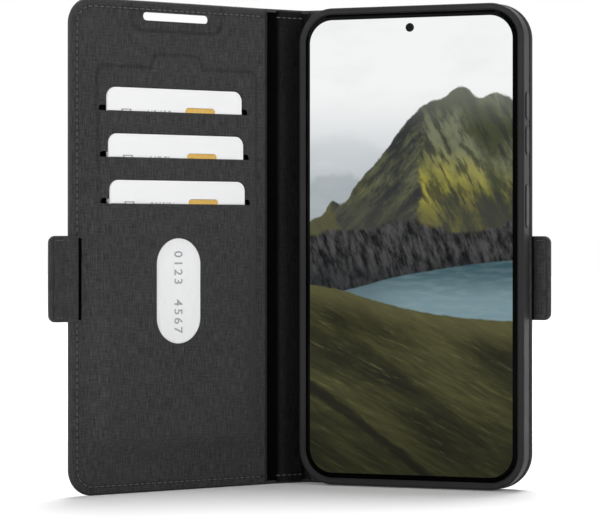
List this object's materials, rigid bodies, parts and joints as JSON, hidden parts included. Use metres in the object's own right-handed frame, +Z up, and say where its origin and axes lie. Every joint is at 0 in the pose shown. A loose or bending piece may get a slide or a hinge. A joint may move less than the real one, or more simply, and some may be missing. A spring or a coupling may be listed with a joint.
{
  "type": "phone wallet case",
  "caption": "Folding wallet case: phone tray on a back cover, folding spine, front cover with card pockets, an ID window and magnetic side tabs.",
  "frame": {"origin": "centre of the bottom of the whole case as it stands half open on its lower edges", "axes": "+Z up along the spine, +X along the back cover away from the spine, +Y out of the back cover's outer face; the phone's screen faces -Y"},
  "size_m": [0.149, 0.085, 0.1652],
  "materials": {
    "leather": "fine matt grain",
    "lining": "fine woven",
    "pocket_fabric": "fine woven",
    "board": "fibre board",
    "tray": "satin flexible plastic",
    "thread": "twisted thread",
    "glue": "clear adhesive sheet",
    "magnet": "nickel plated",
    "card": "satin laminate",
    "contact": "gold plated",
    "film": "clear film",
    "phone_metal": "dark anodised",
    "phone_core": "plain",
    "screen": "lit display",
    "cover_glass": "polished",
    "phone_back": "satin",
    "lens": "polished"
  },
  "bodies": {
    "back": {"back_skin": "leather", "back_board": "board", "back_lining": "lining", "back_seam": "thread", "glue_pad": "glue", "phone_tray": "tray"},
    "spine": {"spine_skin": "leather", "spine_stiffener": "board", "spine_lining": "lining"},
    "front": {"front_skin": "leather", "front_board": "board", "front_lining": "lining", "front_seam": "thread", "window_film": "film", "front_tab_base": "leather", "pocket_top": "pocket_fabric", "pocket_middle": "pocket_fabric", "pocket_bottom": "pocket_fabric"},
    "front_tab": {"front_tab_outer": "leather", "front_tab_magnet": "magnet", "front_tab_inner": "leather", "front_tab_seam": "thread"},
    "rear_tab": {"rear_tab_outer": "leather", "rear_tab_magnet": "magnet", "rear_tab_inner": "leather", "rear_tab_seam": "thread"},
    "card_top": {"card_top": "card", "card_top_chip": "contact"},
    "card_middle": {"card_middle": "card", "card_middle_chip": "contact"},
    "card_bottom": {"card_bottom": "card", "card_bottom_chip": "contact"},
    "volume_up": {"volume_up_cover": "tray"},
    "volume_down": {"volume_down_cover": "tray"},
    "power": {"power_cover": "tray"},
    "phone": {"phone_frame": "phone_metal", "phone_core": "phone_core", "phone_display": "screen", "phone_glass": "cover_glass", "phone_back_glass": "phone_back", "phone_camera_plate": "phone_metal", "phone_camera_lenses": "lens"},
    "volume_key": {"phone_volume_key": "phone_metal"},
    "power_key": {"phone_power_key": "phone_metal"}
  },
  "joints": [
    {"name": "spine_fold", "type": "hinge", "parent": "back", "child": "spine", "pos_m": [-0.0138, 0.04205, 0], "axis": [0, 0, 1], "range_deg": [-140, 40]},
    {"name": "cover_fold", "type": "hinge", "parent": "spine", "child": "front", "pos_m": [-0.02338, 0.03064, 0], "axis": [0, 0, 1], "range_deg": [-95, 85]},
    {"name": "front_tab_fold", "type": "hinge", "parent": "front", "child": "front_tab", "pos_m": [-0.07047, -0.03661, 0], "axis": [0, 0, 1], "range_deg": [-15, 76]},
    {"name": "rear_tab_fold", "type": "hinge", "parent": "back", "child": "rear_tab", "pos_m": [0.0683, 0.04205, 0], "axis": [0, 0, -1], "range_deg": [-23, 68]},
    {"name": "card_top_slide", "type": "slide", "parent": "front", "child": "card_top", "axis": [0, 0, 1], "range_m": [0, 0.078]},
    {"name": "card_middle_slide", "type": "slide", "parent": "front", "child": "card_middle", "axis": [0, 0, 1], "range_m": [0, 0.078]},
    {"name": "card_bottom_slide", "type": "slide", "parent": "front", "child": "card_bottom", "axis": [0, 0, 1], "range_m": [0, 0.078]},
    {"name": "phone_release", "type": "slide", "parent": "back", "child": "phone", "axis": [0, 1, 0], "range_m": [-0.012, 0]},
    {"name": "volume_up_press", "type": "slide", "parent": "back", "child": "volume_up", "axis": [-1, 0, 0], "range_m": [0, 0.0004], "stiffness_N_per_m": 600},
    {"name": "volume_down_press", "type": "slide", "parent": "back", "child": "volume_down", "axis": [-1, 0, 0], "range_m": [0, 0.0004], "stiffness_N_per_m": 600},
    {"name": "power_press", "type": "slide", "parent": "back", "child": "power", "axis": [-1, 0, 0], "range_m": [0, 0.0004], "stiffness_N_per_m": 600},
    {"name": "volume_key_press", "type": "slide", "parent": "phone", "child": "volume_key", "axis": [-1, 0, 0], "range_m": [0, 0.00025], "stiffness_N_per_m": 900},
    {"name": "power_key_press", "type": "slide", "parent": "phone", "child": "power_key", "axis": [-1, 0, 0], "range_m": [0, 0.00025], "stiffness_N_per_m": 900}
  ]
}
